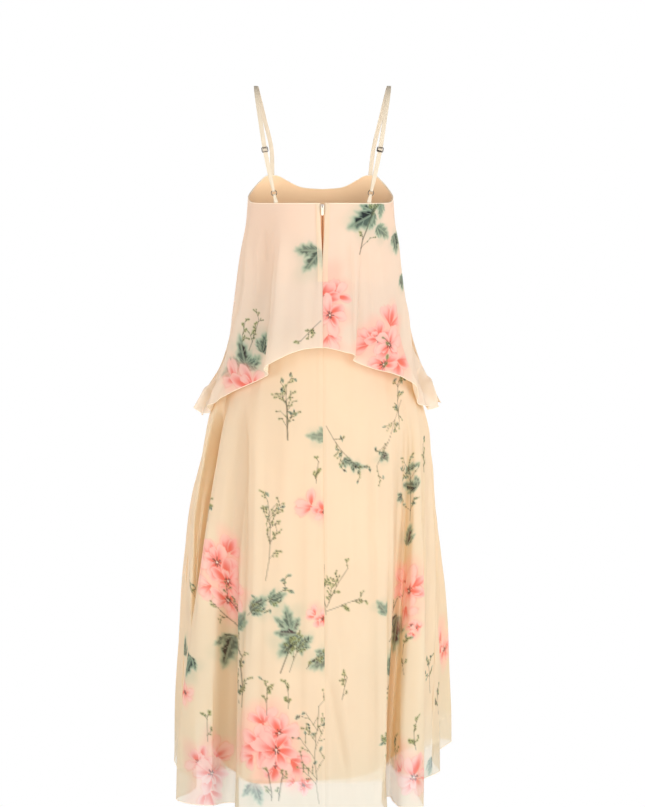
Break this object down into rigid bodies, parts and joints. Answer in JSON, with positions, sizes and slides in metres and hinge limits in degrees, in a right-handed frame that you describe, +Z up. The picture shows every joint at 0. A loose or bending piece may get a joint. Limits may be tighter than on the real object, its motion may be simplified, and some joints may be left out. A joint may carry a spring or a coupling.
{
  "type": "maxi dress",
  "caption": "Sleeveless floral chiffon maxi dress as worn: a fitted bodice under a loose outer tier with fluted side points, a full lined skirt, thin adjustable straps and a back zip.",
  "frame": {"origin": "midway between the shoulders, level with the top of the straps, where the wearer's shoulders hold the dress", "axes": "+Z up, +X to the wearer's right, -Y out of the back of the dress"},
  "size_m": [0.5661, 0.5431, 1.3386],
  "materials": {
    "chiffon": "sheer floral print chiffon",
    "lining": "plain woven lining",
    "strap": "rouleau strap of the same chiffon",
    "zip_tape": "zip tape and coil",
    "metal": "dark bronze plate",
    "enamel": "cream enamel"
  },
  "bodies": {
    "dress": {"bodice_back_left": "lining", "bodice_back_right": "lining", "bodice_front": "lining", "skirt_back_left": "chiffon", "skirt_back_right": "chiffon", "skirt_front": "chiffon", "lining_back_left": "lining", "lining_back_right": "lining", "lining_front": "lining", "overlay_back_left": "chiffon", "overlay_back_right": "chiffon", "overlay_front": "chiffon", "zip_chain": "zip_tape", "zip_slider": "metal", "strap_left": "strap", "strap_tab_left": "strap", "ring_left": "metal", "adjuster_left": "metal", "strap_right": "strap", "strap_tab_right": "strap", "ring_right": "metal", "adjuster_right": "metal"},
    "zip_pull": {"zip_pull": "enamel"}
  },
  "joints": [
    {"name": "zip_pull", "type": "hinge", "parent": "dress", "child": "zip_pull", "pos_m": [0, -0.11265, -0.2261], "axis": [-1, 0, 0], "range_deg": [0, 150]}
  ]
}
